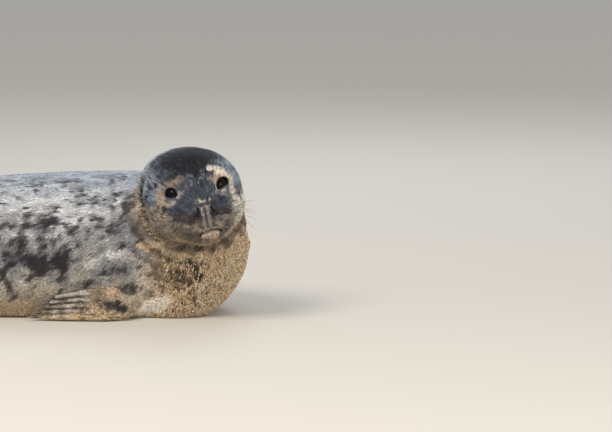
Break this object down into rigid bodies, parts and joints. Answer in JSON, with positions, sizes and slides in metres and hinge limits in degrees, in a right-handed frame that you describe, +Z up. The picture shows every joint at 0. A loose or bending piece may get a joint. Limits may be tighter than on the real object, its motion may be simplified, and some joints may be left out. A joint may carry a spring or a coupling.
{
  "type": "grey seal pup model",
  "caption": "Life-size still model of a young grey seal lying on its belly, head turned to its right, with mottled silver coat and sand on its throat.",
  "frame": {"origin": "on the floor, at the middle of the flat of the belly, on the middle line of the trunk", "axes": "+X toward the chest along the trunk, +Y to the seal's left side, +Z up from the floor"},
  "size_m": [1.0972, 0.4455, 0.3119],
  "materials": {
    "coat": "short flat fur, silver-grey with charcoal blotches",
    "face_coat": "very short dark slate fur with tan patches at the eyes",
    "flipper_coat": "short fur on skin, sand stuck on",
    "nose_skin": "moist bare skin",
    "eye": "wet, nearly black",
    "claw": "dark horn"
  },
  "bodies": {
    "root": {"loin": "coat", "trunk": "coat", "chest": "coat", "neck": "coat", "head": "face_coat", "muzzle": "face_coat", "lower_jaw": "face_coat", "tail": "coat", "fore_flipper_left": "flipper_coat", "fore_flipper_right": "flipper_coat", "hind_flipper_left": "flipper_coat", "hind_flipper_right": "flipper_coat", "nose": "nose_skin", "eye_left": "eye", "eye_right": "eye", "fore_claw_left_1": "claw", "fore_claw_left_2": "claw", "fore_claw_left_3": "claw", "fore_claw_left_4": "claw", "fore_claw_left_5": "claw", "fore_claw_right_1": "claw", "fore_claw_right_2": "claw", "fore_claw_right_3": "claw", "fore_claw_right_4": "claw", "fore_claw_right_5": "claw", "hind_claw_left_1": "claw", "hind_claw_left_2": "claw", "hind_claw_left_3": "claw", "hind_claw_left_4": "claw", "hind_claw_left_5": "claw", "hind_claw_right_1": "claw", "hind_claw_right_2": "claw", "hind_claw_right_3": "claw", "hind_claw_right_4": "claw", "hind_claw_right_5": "claw"}
  },
  "joints": []
}
